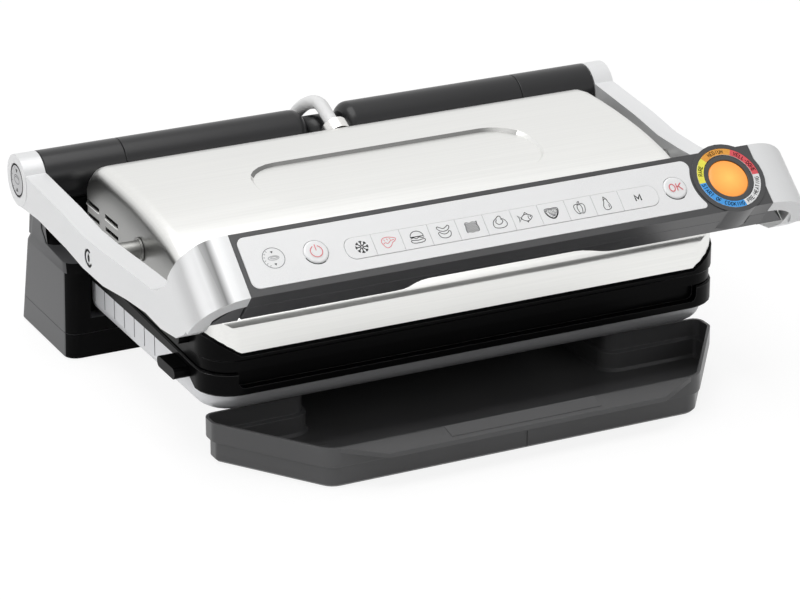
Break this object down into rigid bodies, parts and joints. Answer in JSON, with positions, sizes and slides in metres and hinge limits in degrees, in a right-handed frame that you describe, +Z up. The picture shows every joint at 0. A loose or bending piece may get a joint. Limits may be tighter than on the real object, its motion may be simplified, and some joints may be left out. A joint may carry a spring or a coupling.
{
  "type": "contact grill",
  "caption": "Countertop contact grill with ribbed plates, a hinged brushed lid in a U-shaped handle with a tilted key panel, and a sliding drip tray.",
  "frame": {"origin": "on the table, under the middle of the grill's bounding box", "axes": "+X to the user's right, along the handle; -Y to the front, where the panel and tray are; +Z up"},
  "size_m": [0.5008, 0.4163, 0.1909],
  "materials": {
    "brushed_steel": "brushed along the width, satin",
    "silver_plastic": "silver paint, satin",
    "pale_silver_plastic": "pale silver paint, satin",
    "black_plastic": "moulded, soft sheen",
    "graphite_plastic": "moulded, fine texture",
    "satin_black_plastic": "satin",
    "coated_aluminium": "dark non-stick coating",
    "plated_steel": "plated",
    "bright_sheet": "bright sheet",
    "white_plastic": "cool white, printed signs",
    "circuit_board": "laminate",
    "foot_rubber": "matte",
    "pale_sleeving": "pale glass-fibre sleeving",
    "orange_lens": "diffusing lens"
  },
  "bodies": {
    "base": {"base_bowl": "silver_plastic", "plate_surround": "black_plastic", "rear_housing": "graphite_plastic", "rear_shoe": "graphite_plastic", "power_board": "circuit_board", "cord_inlet": "black_plastic", "front_foot_right": "foot_rubber", "front_foot_left": "foot_rubber", "rear_pad_right": "foot_rubber", "rear_pad_left": "foot_rubber", "knuckle_cover_right": "satin_black_plastic", "knuckle_cover_left": "satin_black_plastic", "lower_plate": "coated_aluminium", "lower_heater": "plated_steel", "lower_reflector": "bright_sheet", "lower_release_spring": "plated_steel", "wiring_sleeve": "pale_sleeving"},
    "tray": {"drip_tray": "graphite_plastic"},
    "lower_release": {"lower_release_button": "black_plastic"},
    "handle": {"arm_right": "pale_silver_plastic", "arm_left": "pale_silver_plastic", "bar_cover_right": "satin_black_plastic", "bar_cover_left": "satin_black_plastic", "hinge_shaft": "plated_steel", "hub_badge_right": "graphite_plastic", "hub_badge_left": "graphite_plastic", "panel_frame": "graphite_plastic", "panel_back": "graphite_plastic", "panel_fascia": "white_plastic", "control_board": "circuit_board", "arm_liner_right": "black_plastic", "arm_liner_left": "black_plastic", "dial_bezel": "black_plastic", "colour_ring": "white_plastic", "dial_lens": "orange_lens"},
    "lid": {"lid_shell": "brushed_steel", "lid_skirt": "black_plastic", "pivot_pin_right": "plated_steel", "pivot_pin_left": "plated_steel", "pivot_screw_right": "plated_steel", "pivot_screw_left": "plated_steel", "sleeve_gland": "plated_steel", "upper_plate": "coated_aluminium", "upper_heater": "plated_steel", "upper_reflector": "bright_sheet", "upper_release_spring": "plated_steel"},
    "upper_release": {"upper_release_button": "black_plastic"},
    "power": {"power_button": "white_plastic"},
    "ok": {"ok_button": "white_plastic"},
    "key_01": {"program_key_01": "white_plastic"},
    "key_02": {"program_key_02": "white_plastic"},
    "key_03": {"program_key_03": "white_plastic"},
    "key_04": {"program_key_04": "white_plastic"},
    "key_05": {"program_key_05": "white_plastic"},
    "key_06": {"program_key_06": "white_plastic"},
    "key_07": {"program_key_07": "white_plastic"},
    "key_08": {"program_key_08": "white_plastic"},
    "key_09": {"program_key_09": "white_plastic"},
    "key_10": {"program_key_10": "white_plastic"},
    "key_11": {"program_key_11": "white_plastic"}
  },
  "joints": [
    {"name": "lid_open", "type": "hinge", "parent": "base", "child": "handle", "pos_m": [0, 0.14, 0.1375], "axis": [-1, 0, 0], "range_deg": [0, 100], "deforming": ["wiring_sleeve"]},
    {"name": "lid_float", "type": "hinge", "parent": "handle", "child": "lid", "pos_m": [0, 0.004, 0.1225], "axis": [1, 0, 0], "range_deg": [0, 3]},
    {"name": "tray_slide", "type": "slide", "parent": "base", "child": "tray", "axis": [0, -1, 0], "range_m": [0, 0.19]},
    {"name": "lower_release_press", "type": "slide", "parent": "base", "child": "lower_release", "axis": [1, 0, 0], "range_m": [0, 0.004], "stiffness_N_per_m": 400, "springref_m": -0.003},
    {"name": "upper_release_press", "type": "slide", "parent": "lid", "child": "upper_release", "axis": [1, 0, 0], "range_m": [0, 0.004], "stiffness_N_per_m": 400, "springref_m": -0.003},
    {"name": "power_press", "type": "slide", "parent": "handle", "child": "power", "axis": [0, 0.6428, -0.766], "range_m": [0, 0.0007], "stiffness_N_per_m": 400, "springref_m": -0.001},
    {"name": "ok_press", "type": "slide", "parent": "handle", "child": "ok", "axis": [0, 0.6428, -0.766], "range_m": [0, 0.0007], "stiffness_N_per_m": 400, "springref_m": -0.001},
    {"name": "key_01_press", "type": "slide", "parent": "handle", "child": "key_01", "axis": [0, 0.6428, -0.766], "range_m": [0, 0.0007], "stiffness_N_per_m": 400, "springref_m": -0.001},
    {"name": "key_02_press", "type": "slide", "parent": "handle", "child": "key_02", "axis": [0, 0.6428, -0.766], "range_m": [0, 0.0007], "stiffness_N_per_m": 400, "springref_m": -0.001},
    {"name": "key_03_press", "type": "slide", "parent": "handle", "child": "key_03", "axis": [0, 0.6428, -0.766], "range_m": [0, 0.0007], "stiffness_N_per_m": 400, "springref_m": -0.001},
    {"name": "key_04_press", "type": "slide", "parent": "handle", "child": "key_04", "axis": [0, 0.6428, -0.766], "range_m": [0, 0.0007], "stiffness_N_per_m": 400, "springref_m": -0.001},
    {"name": "key_05_press", "type": "slide", "parent": "handle", "child": "key_05", "axis": [0, 0.6428, -0.766], "range_m": [0, 0.0007], "stiffness_N_per_m": 400, "springref_m": -0.001},
    {"name": "key_06_press", "type": "slide", "parent": "handle", "child": "key_06", "axis": [0, 0.6428, -0.766], "range_m": [0, 0.0007], "stiffness_N_per_m": 400, "springref_m": -0.001},
    {"name": "key_07_press", "type": "slide", "parent": "handle", "child": "key_07", "axis": [0, 0.6428, -0.766], "range_m": [0, 0.0007], "stiffness_N_per_m": 400, "springref_m": -0.001},
    {"name": "key_08_press", "type": "slide", "parent": "handle", "child": "key_08", "axis": [0, 0.6428, -0.766], "range_m": [0, 0.0007], "stiffness_N_per_m": 400, "springref_m": -0.001},
    {"name": "key_09_press", "type": "slide", "parent": "handle", "child": "key_09", "axis": [0, 0.6428, -0.766], "range_m": [0, 0.0007], "stiffness_N_per_m": 400, "springref_m": -0.001},
    {"name": "key_10_press", "type": "slide", "parent": "handle", "child": "key_10", "axis": [0, 0.6428, -0.766], "range_m": [0, 0.0007], "stiffness_N_per_m": 400, "springref_m": -0.001},
    {"name": "key_11_press", "type": "slide", "parent": "handle", "child": "key_11", "axis": [0, 0.6428, -0.766], "range_m": [0, 0.0007], "stiffness_N_per_m": 400, "springref_m": -0.001}
  ],
  "couplings": [
    {"joint": "lid_float", "follows": "lid_open", "ratio": 0.03}
  ]
}
